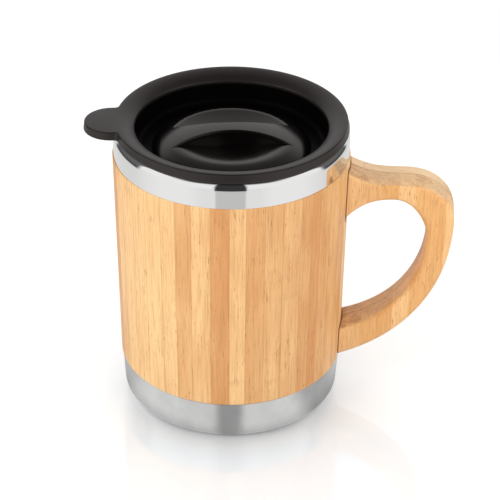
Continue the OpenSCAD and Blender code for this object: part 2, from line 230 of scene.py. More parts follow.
# %% Start a material
def finish(name, colour, roughness, **constants):
    """A new material with its plain values set, and the place on the piece in millimetres, as wires."""
    material = bpy.data.materials.new(name)
    material.use_nodes = True
    tree = material.node_tree
    shader = tree.nodes["Principled BSDF"]
    plug(tree, colour, shader.inputs["Base Color"])
    shader.inputs["Roughness"].default_value = roughness
    for socket, value in constants.items():
        shader.inputs[socket.replace("_", " ")].default_value = value
    place = Wire(tree, None).node("TexCoord", output="Object")
    x, y, z = (part * (1 / mm) for part in separate(place))
    return material, x, y, z


def feed(material, **sockets):
    """Link wires to the sockets of a material's shader."""
    tree = material.node_tree
    for socket, value in sockets.items():
        plug(tree, value, tree.nodes["Principled BSDF"].inputs[socket.replace("_", " ")])


print("helpers ready")

# %% [markdown]
# ## Making meshes
# Most pieces of a mug are turned. A turned piece needs only its profile: a list of points, each with its
# distance from the axis and its height. `rounded` replaces sharp corners by arcs, because no real edge is
# perfectly sharp and the small arcs catch the light. `held` adds points close to the ends of long
# straight stretches. They hold the smooth shading on the arcs, so the flat faces beside them stay flat.


# %% Helpers for profiles
def rounded(corners, steps=6):
    """Corners are (distance, height, radius). One with a radius becomes an arc that touches both sides."""
    points = []
    for i, (r, z, radius) in enumerate(corners):
        here = Vector((r, z))
        if not radius:
            points.append(here)
            continue
        to_last = (Vector(corners[i - 1][:2]) - here).normalized()
        to_next = (Vector(corners[(i + 1) % len(corners)][:2]) - here).normalized()
        half = to_last.angle(to_next) / 2
        middle = here + (to_last + to_next).normalized() * radius / math.sin(half)
        first = here + to_last * radius / math.tan(half) - middle
        sweep = (math.pi - 2 * half) * (1 if to_last.cross(to_next) < 0 else -1)
        points += [middle + Matrix.Rotation(sweep * k / steps, 2) @ first for k in range(steps + 1)]
    return points


def held(points, gap=0.3):
    """The same path with a point close to each end of its long stretches."""
    path = []
    for here, after in zip(points, points[1:]):
        path.append(here)
        length = (after - here).length
        if length > 4 * gap:
            path.append(here.lerp(after, gap / length))
            path.append(after.lerp(here, gap / length))
    return path + [points[-1]]


def spots(*pairs):
    return [Vector(pair) for pair in pairs]


def arc(r, z, radius, start, end, steps):
    """Points on a circle about (r, z), from one angle to another in degrees."""
    angles = [math.radians(start + (end - start) * k / steps) for k in range(steps + 1)]
    return [Vector((r + radius * math.cos(a), z + radius * math.sin(a))) for a in angles]


# %% Turn a profile, and finish a mesh
weld_gap = 0.002
least_edge = 0.001


def as_object(name, work, sharp_deg=35):
    """Turn a bmesh into a smooth-shaded object whose edges past an angle stay sharp."""
    bmesh.ops.remove_doubles(work, verts=work.verts, dist=weld_gap * mm)
    bmesh.ops.dissolve_degenerate(work, edges=work.edges, dist=least_edge * mm)
    bmesh.ops.recalc_face_normals(work, faces=work.faces)
    mesh = bpy.data.meshes.new(name)
    work.to_mesh(mesh)
    work.free()
    mesh.shade_smooth()
    mesh.set_sharp_from_angle(angle=math.radians(sharp_deg))
    piece = bpy.data.objects.new(name, mesh)
    bpy.context.scene.collection.objects.link(piece)
    return piece


def turned(name, points, steps=256, sharp_deg=35):
    """Spin a profile about Z. A profile that starts off the axis is a closed loop."""
    loop = list(points)
    if loop[0][0] > 0:
        loop.append(loop[0])
    loop = held(loop)
    work = bmesh.new()
    corners = [work.verts.new((r * mm, 0, z * mm)) for r, z in loop]
    sides = [work.edges.new(pair) for pair in zip(corners, corners[1:])]
    bmesh.ops.spin(work, geom=corners + sides, cent=(0, 0, 0), axis=(0, 0, 1),
                   angle=2 * math.pi, steps=steps, use_merge=True)
    return as_object(name, work, sharp_deg)


def dress(piece, body, node, material):
    """Hang a piece on its body, let it stand for its node and give it its material."""
    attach(piece, body)
    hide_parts(node)
    piece.data.materials.append(material)
    print(piece.name, len(piece.data.vertices), "vertices, for", node)
    return piece


# %% [markdown]
# ## The bamboo sleeve
# The sleeve is a tube glued from about forty upright strips of bamboo and then turned smooth, so its
# shape is simple and its finish is not. Each strip has a tone of its own. Fine fibres run up it, with
# short dark dashes where the plant's bundles were cut, and here and there a node crosses a strip. The
# noise is read from the object's own coordinates, squeezed along Z, so it goes round the mug with no
# seam.

# %% Sizes of the sleeve
sleeve_low, sleeve_high = span("bamboo_sleeve")
sleeve_low_z = sleeve_low.z
sleeve_top_z = sleeve_high.z
sleeve_top_r = sleeve_high.y
sleeve_taper = 1.2
sleeve_wall = 1.9
sleeve_edge = 0.4
bore_edge = 0.2
sleeve_foot_r = sleeve_top_r - sleeve_taper
bore_r = sleeve_foot_r - sleeve_wall


def sleeve_r(z):
    return sleeve_foot_r + sleeve_taper * (z - sleeve_low_z) / (sleeve_top_z - sleeve_low_z)


print("sleeve", sleeve_foot_r, sleeve_top_r, sleeve_low_z, sleeve_top_z)

# %% Strips of the sleeve
strip_count = 40
strip_start_deg = -94.25
strip_wander = 0.09
strip_shifts = ((-83.5, -77, 0.27), (-64, -57, -0.22), (-47, -40, 0.35), (-39.5, -35, 0.5), (20, 90, -0.9))
front_strip = 14
front_tones = (0.15, 0.1, 0.0, 0.08, 0.68, 0.3, 0.96, 0.32, 0.70, 0.58, 0.47, 0.75, 1.0, 0.66, 0.52)
back_tone = 0.85
stop_gap = 0.0005


def numbered_strips(x, y):
    """The number of the strip at a place, and how far across that strip it is, from 0 to 1."""
    turn = angle(y, x)
    turn_deg = turn * to_deg
    wander = strip_wander * sine(turn * 7 + 1.0) + 0.5 * strip_wander * sine(turn * 16)
    count = (turn_deg - strip_start_deg) * (strip_count / 360) + wander + strip_count / 2
    for start, end, shift in strip_shifts:
        count = count + ramp_up(turn_deg, start, end) * shift
    counted = whole(count)
    return counted.math("FLOORED_MODULO", counted, strip_count), count - counted


def strip_stops():
    """Steps of a ramp that gives each strip in front its own tone."""
    ends = [(0, (0, 0, 0))]
    for i, tone in enumerate(front_tones):
        start = (front_strip + i) / strip_count
        ends += [(start + stop_gap, (tone,) * 3), (start + 1 / strip_count - stop_gap, (tone,) * 3)]
    return ends


def strip_tone(strip):
    """How dark a strip is: chosen for the strips in front, and random for those at the back."""
    chosen = strip.node("ValToRGB", {"stops": strip_stops()}, {0: (strip + 0.5) / strip_count})
    in_front = (strip > front_strip - 0.5) * (strip < front_strip + len(front_tones) - 0.5)
    return chosen * in_front + chance(strip * 1.7 + 0.3) * back_tone * (1 - in_front)


print("strips", strip_count, "of them in front", len(front_tones))

# %% Finish of the sleeve
pale_bamboo = (0.94, 0.61, 0.285)
dark_bamboo = (0.66, 0.305, 0.107)
fibre_brown = (0.40, 0.16, 0.05)
fine_fibre = (0.42, 14)
broad_fibre = (1.4, 40)
dash = (0.34, 4.5)
fine_share = 0.30
broad_share = 0.22
dash_share = 0.72
edge_share = 0.28
knot_share = 0.22
knot_spread = 400
knot_start = 150
grain_depth = 0.02


def fibres(x, y, z, size, offset):
    """Noise drawn out along Z. Size is the fibres' width and length in millimetres."""
    width, length = size
    return noise(x / width, y / width, z / length + offset, 2.0, 0.6)


def knots(x, y, z, strip):
    """Up to 1 in the short dark band of a node, at a random height in each strip."""
    knot_z = chance(strip + 0.5) * knot_spread - knot_start
    near_knot = 1 - ramp_up(abs(z - knot_z), 0.4, 2.2)
    return near_knot * ramp_up(noise(x / 0.7, y / 0.7, z / 3, 3.0), 0.40, 0.62)


def bamboo_strips():
    material, x, y, z = finish("bamboo_strips", pale_bamboo, 0.42, Specular_IOR_Level=0.35)
    strip, across = numbered_strips(x, y)
    offset = strip * 13.7
    cloudy = noise(x / 7, y / 7, z / 28 + offset, 1.0)
    tone = strip_tone(strip) * 0.8 + (cloudy - 0.5) * 0.7 + 0.08
    colour = mix(ramp_up(tone, -0.1, 1.05), pale_bamboo, dark_bamboo)
    fine = fibres(x, y, z, fine_fibre, offset)
    broad = fibres(x, y, z, broad_fibre, offset + 5)
    streak = ramp_up(fine, 0.42, 0.72) * fine_share + ramp_up(broad, 0.45, 0.75) * broad_share
    patch = ramp_up(noise(x / 5, y / 5, z / 16 + offset, 1.0), 0.42, 0.62)
    dashes = ramp_up(fibres(x, y, z, dash, offset + 9), 0.60, 0.70) * (0.25 + patch * 0.75)
    edge = 1 - ramp_up(0.5 - abs(across - 0.5), 0.0, 0.05)
    brown = streak + dashes * dash_share + edge * edge_share + knots(x, y, z, strip) * knot_share
    colour = mix(brown, colour, fibre_brown)
    feed(material, Base_Color=colour, Roughness=0.40 + fine * 0.12,
         Normal=bumped(fine * 0.7 - edge * 0.5 - dashes * 0.3, grain_depth))
    return material


# %% Turn the sleeve
sleeve = turned("sleeve", rounded([
    (bore_r, sleeve_low_z, bore_edge), (sleeve_foot_r, sleeve_low_z, sleeve_edge),
    (sleeve_top_r, sleeve_top_z, sleeve_edge), (bore_r, sleeve_top_z, bore_edge)]), steps=320)
dress(sleeve, "cup", "bamboo_sleeve", bamboo_strips())

# %% [markdown]
# ## The steel liner and foot
# The liner is one spun sheet. Its mouth is rolled outwards and down into a mirror-polished collar that
# stands on the sleeve. The roll is a quarter circle stretched downwards, because a spun lip leans over
# gently on its outer side. The foot is a shallow pressed cup with lines of brushing round it. Both are
# turned profiles with real sheet thickness. Steel takes its look from what it mirrors, so its own colour
# is plain. On the foot, fine rings in the bump spread the mirror image up and down, as real brushing
# does.

# %% Sizes of the liner
liner_t = 0.5
collar_inset = 0.4
collar_r = sleeve_top_r - collar_inset
lip_w = 3.6
mouth_r = collar_r - lip_w
liner_low, liner_high = span("inner_liner")
liner_low_z = liner_low.z
cup_h = liner_high.z
roll_r = lip_w / 2
roll_h = 3.4
roll_mid_r = mouth_r + roll_r
roll_z = cup_h - roll_r
floor_z = liner_low_z + liner_t
mouth_low_z = 95.5
neck_low_z = 92.5
air_gap = 2.4
liner_taper = 2.5
wall_r = bore_r - air_gap - liner_t
floor_r = wall_r - liner_taper
floor_corner_r = 5
floor_mid = (floor_r - floor_corner_r, floor_z + floor_corner_r)
print("liner: mouth", mouth_r, "wall", wall_r, "floor", floor_r, "top", cup_h)


# %% Finish of the liner
def smooth_steel():
    material, x, y, z = finish("polished_steel", (0.80, 0.80, 0.795), 0.06, Metallic=1.0)
    cloud = patches(x, y, z, 14)
    inside = 1 - ramp_up(from_axis(x, y), mouth_r - 0.6, mouth_r + 0.4)
    rings = noise(0.0, 0.0, z / 0.25)
    feed(material, Roughness=0.045 + cloud * 0.03 + inside * (0.16 + rings * 0.12))
    return material


# %% Turn the liner
def drooped(points, radius):
    """Stretch a quarter circle downwards, so that the roll leans over gently on its outer side."""
    share = (roll_h - roll_r + radius) / radius
    return [Vector((r, roll_z + radius - (roll_z + radius - z) * share)) for r, z in points]


liner_path = spots((0, liner_low_z))
liner_path += arc(*floor_mid, floor_corner_r + liner_t, -90, 0, 10)
liner_path += spots((wall_r + liner_t, neck_low_z), (mouth_r + liner_t, mouth_low_z))
liner_path += arc(roll_mid_r, roll_z, roll_r - liner_t, 180, 90, 12)
liner_path += drooped(arc(roll_mid_r, roll_z, roll_r - liner_t, 90, 0, 12)[1:], roll_r - liner_t)
liner_path += spots((collar_r - liner_t, sleeve_top_z), (collar_r, sleeve_top_z))
liner_path += drooped(arc(roll_mid_r, roll_z, roll_r, 0, 90, 28), roll_r)
liner_path += arc(roll_mid_r, roll_z, roll_r, 90, 180, 16)[1:]
liner_path += spots((mouth_r, mouth_low_z), (wall_r, neck_low_z))
liner_path += arc(*floor_mid, floor_corner_r, 0, -90, 12)
liner_path += spots((0, floor_z))
liner = turned("liner", liner_path, steps=384)
dress(liner, "cup", "inner_liner", smooth_steel())

# %% Sizes of the foot
foot_t = 0.6
foot_inset = 0.3
foot_taper = 0.7
foot_edge = 0.15
foot_top_r = sleeve_foot_r - foot_inset
foot_low_r = foot_top_r - foot_taper
foot_corner_r = 3
foot_ring_r = foot_low_r - foot_corner_r
foot_ring_w = 1.8
foot_recess = 1.5
spigot_gap = 0.05
spigot_r = bore_r - spigot_gap
spigot_top_z = span("base_cup")[1].z
ring_in_r = foot_ring_r - foot_ring_w
print("foot: top", foot_top_r, "ring", ring_in_r, foot_ring_r)


# %% Finish of the foot
def brushed_steel():
    """Rings of brushing, which follow the height on the side and the distance from the axis below."""
    material, x, y, z = finish("brushed_steel", (0.63, 0.63, 0.625), 0.22, Metallic=1.0)
    climb = z + from_axis(x, y) * 0.5
    lines = noise(x / 60, y / 60, climb / 0.10, 3.0, 0.7)
    coarse = noise(x / 30, y / 30, climb / 0.5)
    cloud = ramp_up(noise(x / 7, y / 7, z / 9), 0.3, 0.7)
    feed(material, Base_Color=mix(cloud, (0.60, 0.60, 0.595), (0.655, 0.655, 0.65)),
         Roughness=0.13 + lines * 0.13 + coarse * 0.05, Normal=bumped(lines, 0.004))
    return material


# %% Turn the foot
foot_path = spots((0, foot_recess), (ring_in_r - foot_recess, foot_recess), (ring_in_r, 0))
foot_path += arc(foot_ring_r, foot_corner_r, foot_corner_r, -90, 0, 16)
foot_path += spots(
    (foot_top_r, sleeve_low_z - foot_edge), (foot_top_r - foot_edge, sleeve_low_z),
    (spigot_r, sleeve_low_z), (spigot_r, spigot_top_z),
    (spigot_r - foot_t, spigot_top_z), (spigot_r - foot_t, sleeve_low_z - foot_t),
    (foot_top_r - foot_t, sleeve_low_z - foot_t))
foot_path += arc(foot_ring_r, foot_corner_r, foot_corner_r - foot_t, 0, -90, 10)
foot_path += spots(
    (ring_in_r + foot_t / 2, foot_t),
    (ring_in_r - foot_recess + foot_t / 2, foot_recess + foot_t), (0, foot_recess + foot_t))
foot = turned("foot", foot_path, steps=320)
dress(foot, "cup", "base_cup", brushed_steel())

# %% [markdown]
# ## The handle
# The handle is sawn from board that is glued up from two plies. In the front ply the bamboo stands
# upright, and in the rear ply it lies across. Its outer and inner edges are smooth curves, so each is
# three Bezier stretches, written as shares of the handle's reach and height. They follow the photograph,
# and lie up to 3 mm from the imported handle. Rounded sections between the two curves make the mesh, and
# the ends of the mesh are laid on the sleeve's own cone.

# %% Sizes and curves of the handle
handle_low, handle_high = span("handle")
handle_w = handle_high.y - handle_low.y
handle_edge_r = 2.0
handle_root_x = sleeve_foot_r - 2 * sleeve_edge
handle_reach = handle_high.x
handle_rise = 0.8
handle_drop = 5.1
handle_low_z = sleeve_low_z + handle_rise
handle_h = sleeve_top_z - handle_drop - handle_low_z
handle_joint = 0.05
end_step = 0.02
outer_shares = ((0, 1.04), (0.21, 0.965), (0.39, 0.98), (0.57, 0.98), (0.86, 0.98),
                (1, 0.87), (1, 0.77), (1, 0.42), (0.635, 0.125), (0, 0))
inner_shares = ((0, 0.75), (0.14, 0.855), (0.29, 0.885), (0.465, 0.885), (0.625, 0.885),
                (0.76, 0.775), (0.76, 0.69), (0.76, 0.455), (0.5, 0.24), (0, 0.165))


def edge_curve(shares, steps=44):
    controls = [Vector((handle_root_x + s * (handle_reach - handle_root_x), 0, handle_low_z + t * handle_h))
                for s, t in shares]
    curve = []
    for i in (0, 3, 6):
        curve += interpolate_bezier(*controls[i:i + 4], steps)[:-1]
    return curve + [controls[-1]]


outer_edge = edge_curve(outer_shares)
inner_edge = edge_curve(inner_shares)
print("handle sections", len(outer_edge))


# %% Sweep the handle
def bar_section(depth, width, radius, steps=6):
    """Outline of a bar with round corners, about its own middle."""
    half = (depth / 2, width / 2)
    corners = [(-half[0], -half[1], radius), (half[0], -half[1], radius),
               (half[0], half[1], radius), (-half[0], half[1], radius)]
    outline = rounded(corners, steps)
    return held(outline + outline[:1], 0.25)[:-1]


def swept_handle():
    work = bmesh.new()
    rings = []
    for i, (out, inn) in enumerate(zip(outer_edge, inner_edge)):
        across = out - inn
        middle = (out + inn) / 2
        along = across.normalized()
        ring = []
        from_end = min(i, len(outer_edge) - 1 - i)
        for s, t in bar_section(across.length, handle_w, handle_edge_r):
            spot = middle + along * s + Vector((0, t, 0))
            skin_x = math.sqrt((sleeve_r(spot.z) + handle_joint) ** 2 - t * t)
            spot.x = skin_x if from_end == 0 else max(spot.x, skin_x + end_step * from_end)
            ring.append(work.verts.new(spot * mm))
        rings.append(ring)
    for ring, after in zip(rings, rings[1:]):
        for k in range(len(ring)):
            n = (k + 1) % len(ring)
            work.faces.new((ring[k], after[k], after[n], ring[n]))
    work.faces.new(rings[0])
    work.faces.new(rings[-1])
    return as_object("handle_board", work, 50)


# %% Colours of the handle
ply_joint_y = 0.9
handle_strip_w = 5.6
front_pale = (0.93, 0.57, 0.26)
front_dark = (0.78, 0.40, 0.14)
end_brown = (0.70, 0.43, 0.21)
end_dark = (0.50, 0.27, 0.125)
end_pale = (0.80, 0.53, 0.29)
end_speck = (0.24, 0.11, 0.045)
side_pale = (0.82, 0.58, 0.34)
# The next colour darkens the line where the handle meets the sleeve: partly the joint, partly painted
# crease shade.
joint_shade_brown = (0.12, 0.05, 0.02)
board_fibre = (0.42, 12)
board_dash = (0.36, 4.5)
print("plies meet at", ply_joint_y)


# %% Finish of the handle
def upright_grain(x, y, z, strip, upright):
    """Strips of slightly different tones, with fibres and dashes that run up them."""
    tone = chance(strip + 0.2) * 0.6 + noise(x / 5, y / 5, z / 25, 1.0) * 0.7 - 0.15
    plain = mix(ramp_up(tone, 0.0, 1.0), front_pale, front_dark)
    plain = mix(ramp_up(upright, 0.42, 0.72) * 0.34, plain, fibre_brown)
    dashes = ramp_up(fibres(x, y, z, board_dash, strip * 5.3), 0.60, 0.70)
    return mix(dashes * 0.65, plain, fibre_brown)


def end_grain(x, y, z, strip, speck):
    """Brown blocks full of dark specks, where the board is cut across the grain."""
    block = noise(x / 3.0, y / 2.0, z / 3.0, 2.0, 0.6)
    ends = mix(ramp_up(block, 0.35, 0.68), end_brown, end_dark)
    ends = mix(chance(strip + 0.7) * 0.7, ends, end_pale)
    return mix(ramp_up(speck, 0.50, 0.66) * 0.5, ends, end_speck)


def joint_and_crease_shade(x, y, z):
    """1 in the thin dark line where the handle meets the sleeve: partly the joint, partly painted shade in
    the crease.
    """
    lean = sleeve_taper / (sleeve_top_z - sleeve_low_z)
    out = from_axis(x, y) - (z - sleeve_low_z) * lean - sleeve_foot_r
    return 1 - ramp_up(out, 0.25, 0.65)


def bamboo_board():
    material, x, y, z = finish("bamboo_board", front_pale, 0.42, Specular_IOR_Level=0.35)
    face_x, _, face_z = separate(x.node("TexCoord", output="Normal"))
    wavy = (patches(x, y, z, 4) - 0.5) * 0.5
    end_front = ramp_up(abs(face_z) + wavy, 0.40, 0.75)
    end_rear = ramp_up(abs(face_x) + wavy, 0.55, 0.85)
    strip = whole(x / handle_strip_w + 0.35)
    upright = fibres(x, y, z, board_fibre, strip * 3.1)
    speck = noise(x / 0.45, y / 0.6, z / 0.45, 3.0, 0.7)
    ends = end_grain(x, y, z, strip, speck)
    front = mix(end_front, upright_grain(x, y, z, strip, upright), ends)
    across = noise(x / 14, y / 0.4, z / 0.4, 2.0, 0.6)
    rear = mix(ramp_up(across, 0.42, 0.75) * 0.4, side_pale, fibre_brown)
    in_loop = ramp_up(face_z, 0.2, 0.5) * (1 - ramp_up(z, 60, 66))
    rear = mix(end_rear * (1 - in_loop) + in_loop * 0.85, rear, ends)
    colour = mix(ramp_up(y, ply_joint_y - 0.1, ply_joint_y + 0.1), front, rear)
    glue = 1 - ramp_up(abs(y - ply_joint_y), 0.05, 0.3)
    # Darken the glue line between the plies, and the line at the sleeve, which is partly painted crease
    # shade.
    colour = mix(glue * 0.35 + joint_and_crease_shade(x, y, z) * 0.85, colour, joint_shade_brown)
    feed(material, Base_Color=colour, Roughness=0.38 + upright * 0.14,
         Normal=bumped(upright * 0.6 + speck * 0.3, grain_depth))
    return material


dress(swept_handle(), "cup", "handle", bamboo_board())

# %% [markdown]
# ## The lid's rim and pull tab
# The rim is one soft-touch moulding: a flange that lies on the collar, a funnel down to the bowl, a skirt
# that goes into the mouth, and a flat tab to pull it by. It can't be turned, because of the tab. Instead
# its outline is walked once round as points with an outward direction, and the same section hangs on each
# point. The funnel is an arc that leaves a narrow flat crown and grows steeper toward the opening.

# %% Sizes of the rim
lid_turn = math.radians(8)
rim_low, rim_high = span("lid_rim")
lid_top_z = rim_high.z
skirt_low_z = rim_low.z
flange_h = 3
flange_inset = 0.25
flange_z = lid_top_z - flange_h
flange_r = collar_r - flange_inset
flange_flare = 0.55
tab_flare = 0.3
flange_edge = 0.5
flange_hold = 0.3
flange_lean = 0.125
flange_foot = ((0.05, 0.2), (0.15, 0.05), (0.3, 0))
crown_w = 0.5
crown_steps = 7
funnel_r = flange_r - flange_flare - flange_edge - crown_w
rim_rise = 0.2
rim_open_z = flange_z + rim_rise
rim_open_r = 34
rim_t = 1
bowl_top_z = rim_open_z - rim_t
print("rim: flange", flange_r, flange_z, "opening", rim_open_r, rim_open_z)

# %% Sizes of the skirt and the tab
skirt_gap = 0.6
skirt_t = 2.15
skirt_r = mouth_r - skirt_gap
skirt_in_r = skirt_r - skirt_t
seal_groove = 1
seal_low, seal_high = span("lid_seal")
seal_in_r = skirt_r - seal_groove
tab_r = 9.9
tab_out = 10.35
tab_x = flange_r + tab_out - tab_r
tab_fillet = 1.2
fillet_y = tab_r + tab_fillet
fillet_x = math.sqrt((flange_r + tab_fillet) ** 2 - fillet_y ** 2)
flange_steps = 300
fillet_steps = 12
tab_steps = 90
print("skirt", skirt_in_r, skirt_r, "tab", tab_x, tab_r)


# %% Walk round the rim's outline
def outline():
    """Entries of a point, the way out of the solid there, and a share from 0 on the flange to 1 on the tab.
    The angle at which the flange's own round ends comes with them."""
    neck = math.atan2(fillet_y, -fillet_x)
    tab_edge = math.atan2(fillet_y, tab_x - fillet_x)
    walk = []
    for k in range(flange_steps + 1):
        a = -neck + 2 * neck * k / flange_steps
        way = Vector((math.cos(a), math.sin(a)))
        walk.append((way * flange_r, way, 0))
    for k in range(1, fillet_steps):
        a = neck - math.pi + (tab_edge - neck) * k / fillet_steps
        way = Vector((math.cos(a), math.sin(a)))
        walk.append((Vector((-fillet_x, fillet_y)) + way * tab_fillet, -way, k / fillet_steps))
    for k in range(tab_steps + 1):
        a = tab_edge + 2 * (math.pi - tab_edge) * k / tab_steps
        way = Vector((math.cos(a), math.sin(a)))
        walk.append((Vector((-tab_x, 0)) + way * tab_r, way, 1))
    for k in range(1, fillet_steps):
        a = -tab_edge + math.pi + (tab_edge - neck) * k / fillet_steps
        way = Vector((math.cos(a), math.sin(a)))
        walk.append((Vector((-fillet_x, -fillet_y)) + way * tab_fillet, -way, 1 - k / fillet_steps))
    return walk, neck


def inner_angles(walk, neck):
    """Angles for the round inner rings: the flange's own, and even steps along the tab's edge."""
    angles = [math.atan2(spot.y, spot.x) for spot, _, _ in walk[:flange_steps + 1]]
    lengths = [0]
    tab_walk = [spot for spot, _, _ in walk[flange_steps:]] + [walk[0][0]]
    for here, after in zip(tab_walk, tab_walk[1:]):
        lengths.append(lengths[-1] + (after - here).length)
    for length in lengths[1:-1]:
        angles.append(neck + 2 * (math.pi - neck) * length / lengths[-1])
    return angles


# %% Build the rim
def funnel_curve(steep_deg=46, steps=12):
    """The funnel as an arc that leaves the crown gently and drops steeply at the opening."""
    chord = Vector((funnel_r - rim_open_r, lid_top_z - rim_open_z))
    half_deg = steep_deg - math.degrees(math.atan2(chord.y, chord.x))
    radius = chord.length / (2 * math.sin(math.radians(half_deg)))
    steep = math.radians(steep_deg)
    middle = Vector((rim_open_r + radius * math.sin(steep), rim_open_z - radius * math.cos(steep)))
    return arc(middle.x, middle.y, radius, 90 + steep_deg, 90 + steep_deg - 2 * half_deg, steps)[1:]


funnel_arc = funnel_curve()


def rim_section(spot, way, angle, on_tab):
    """The closed section of the rim at one point of its outline."""
    flat = Vector((math.cos(angle), math.sin(angle)))
    flare = flange_flare + (tab_flare - flange_flare) * on_tab
    inner = held(rounded([
        (skirt_r, flange_z, 0), (skirt_r, seal_high.z, 0.1), (seal_in_r, seal_high.z, 0),
        (seal_in_r, seal_low.z, 0), (skirt_r, seal_low.z, 0.1), (skirt_r, skirt_low_z + 1, 0.4),
        (skirt_r - 0.15, skirt_low_z, 0.1), (skirt_in_r, skirt_low_z, 0.2), (skirt_in_r, bowl_top_z, 0),
        (rim_open_r, bowl_top_z, 0.1), (rim_open_r, rim_open_z, 0.8), (*funnel_arc[0], 0)], 5))
    section = [Vector((*(flat * r), z)) for r, z in inner + funnel_arc[1:]]
    for k in range(crown_steps + 1):
        a = math.radians(90 * k / crown_steps)
        inset = flare + flange_edge * (1 - math.sin(a))
        section.append(Vector((*(spot - way * inset), lid_top_z - flange_edge * (1 - math.cos(a)))))
    side = ((flare, flange_h - flange_edge - flange_hold), (flange_lean * flare, 0.5))
    for inset, rise in side + flange_foot:
        section.append(Vector((*(spot - way * inset), flange_z + rise)))
    return section


def built_rim():
    walk, neck = outline()
    work = bmesh.new()
    turn = Matrix.Rotation(lid_turn, 4, "Z")
    columns = []
    for (spot, way, on_tab), angle in zip(walk, inner_angles(walk, neck)):
        section = rim_section(spot, way, angle, on_tab)
        columns.append([work.verts.new(turn @ point * mm) for point in section])
    for column, after in zip(columns, columns[1:] + columns[:1]):
        for k in range(len(column)):
            n = (k + 1) % len(column)
            work.faces.new((column[k], column[n], after[n], after[k]))
    return as_object("rim_and_tab", work, 50)


# %% Finish of the rim
warm_shine = (1.0, 0.86, 0.82, 1.0)


def matte_black():
    material, x, y, z = finish("matte_black", (0.0085, 0.0072, 0.0068), 0.42, Specular_Tint=warm_shine)
    grain = patches(x, y, z, 0.22)
    cloud = patches(x, y, z, 12)
    feed(material, Roughness=0.38 + grain * 0.05 + cloud * 0.05, Normal=bumped(grain, 0.006))
    return material


rim = dress(built_rim(), "lid", "lid_rim", matte_black())

# %% [markdown]
# ## The seal and the bowl
# The seal is a rubber ring with two soft lips, in a groove of the skirt. The bowl is a black shell that
# snaps into the rim, with a port to sip from in the front of its floor and a small vent. The photograph
# shows no highlight in it, so its finish has almost no gloss. Both are turned, and a Boolean modifier
# cuts the port and the vent, because they are plain cuts through a flat floor.

# %% Turn the seal
seal_gap = 0.1
seal_lip_r = mouth_r - seal_gap
seal_h = seal_high.z - seal_low.z


def soft_rubber():
    material, x, y, z = finish("seal_rubber", (0.045, 0.045, 0.047), 0.6)
    grain = patches(x, y, z, 0.4, 3.0)
    feed(material, Roughness=0.52 + grain * 0.16, Normal=bumped(grain, 0.01))
    return material


rubber = soft_rubber()
seal = turned("seal", rounded([
    (seal_in_r, seal_low.z, 0), (skirt_r, seal_low.z, 0), (seal_lip_r, seal_low.z + seal_h * 0.2, 0.12),
    (skirt_r, seal_low.z + seal_h * 0.4, 0.15), (skirt_r, seal_low.z + seal_h * 0.6, 0.15),
    (seal_lip_r, seal_low.z + seal_h * 0.8, 0.12), (skirt_r, seal_high.z, 0), (seal_in_r, seal_high.z, 0)]))
dress(seal, "lid", "lid_seal", rubber)

# %% Sizes of the bowl
bowl_low_z = span("lid_bowl")[0].z
bowl_floor_t = 1.5
bowl_floor_z = bowl_low_z + bowl_floor_t
bowl_draft = 0.5
bowl_corner_r = 2.0
slip_gap = 0.05
stem_r = 4
port_half = math.radians(16)
knob_margin = 6
notch_depth = 2.8
port_margin = 0.7
knob_r = rim_open_r - knob_margin
port_in_r = knob_r - notch_depth
port_out_r = knob_r - port_margin
vent_r = 0.8
vent_gap = 2.2
vent_y = stem_r + vent_gap + vent_r
cutter_spare = 1
print("bowl floor", bowl_floor_z, "port", port_in_r, port_out_r)


# %% Finish of the bowl and the closure
def bowl_black():
    material, x, y, z = finish("bowl_black", (0.0012, 0.0008, 0.0007), 0.5, Specular_IOR_Level=0.04)
    cloud = patches(x, y, z, 8)
    feed(material, Roughness=0.42 + cloud * 0.12)
    return material


def gloss_black():
    material, x, y, z = finish("gloss_black", (0.0016, 0.0011, 0.0010), 0.2, Specular_IOR_Level=0.42,
                               Specular_Tint=warm_shine)
    cloud = patches(x, y, z, 8)
    dust = ramp_up(patches(x, y, z, 0.5, 3.0), 0.6, 0.8)
    feed(material, Roughness=0.19 + cloud * 0.05 + dust * 0.05)
    return material


gloss = gloss_black()


# %% Cut through a piece
def ring_cutter(in_r, out_r, low_z, high_z, half_angle, steps=24):
    """A closed slice of a ring, centred on the -Y side of the lid."""
    work = bmesh.new()
    columns = []
    for k in range(steps + 1):
        a = -math.pi / 2 + lid_turn - half_angle + 2 * half_angle * k / steps
        way = Vector((math.cos(a), math.sin(a), 0))
        ends = [(in_r, low_z), (out_r, low_z), (out_r, high_z), (in_r, high_z)]
        columns.append([work.verts.new((way * r + Vector((0, 0, z))) * mm) for r, z in ends])
    for column, after in zip(columns, columns[1:]):
        for k in range(4):
            n = (k + 1) % 4
            work.faces.new((column[k], column[n], after[n], after[k]))
    work.faces.new(columns[0])
    work.faces.new(columns[-1])
    return as_object("cutter", work)


def round_cutter(x, y, r, low_z, high_z, steps=32):
    work = bmesh.new()
    spot = Matrix.Rotation(lid_turn, 4, "Z") @ Vector((x, y, (low_z + high_z) / 2))
    bmesh.ops.create_cone(work, cap_ends=True, segments=steps, radius1=r * mm, radius2=r * mm,
                          depth=(high_z - low_z) * mm, matrix=Matrix.Translation(spot * mm))
    return as_object("cutter", work)


def cut(piece, cutter):
    """Take the cutter's space out of a piece, for good."""
    tool = piece.modifiers.new("cut", "BOOLEAN")
    tool.object = cutter
    tool.operation = "DIFFERENCE"
    tool.solver = "EXACT"
    seen = piece.evaluated_get(bpy.context.evaluated_depsgraph_get())
    mesh = bpy.data.meshes.new_from_object(seen)
    piece.modifiers.remove(tool)
    piece.data = mesh
    bpy.data.objects.remove(cutter)
    mesh.set_sharp_from_angle(angle=math.radians(35))


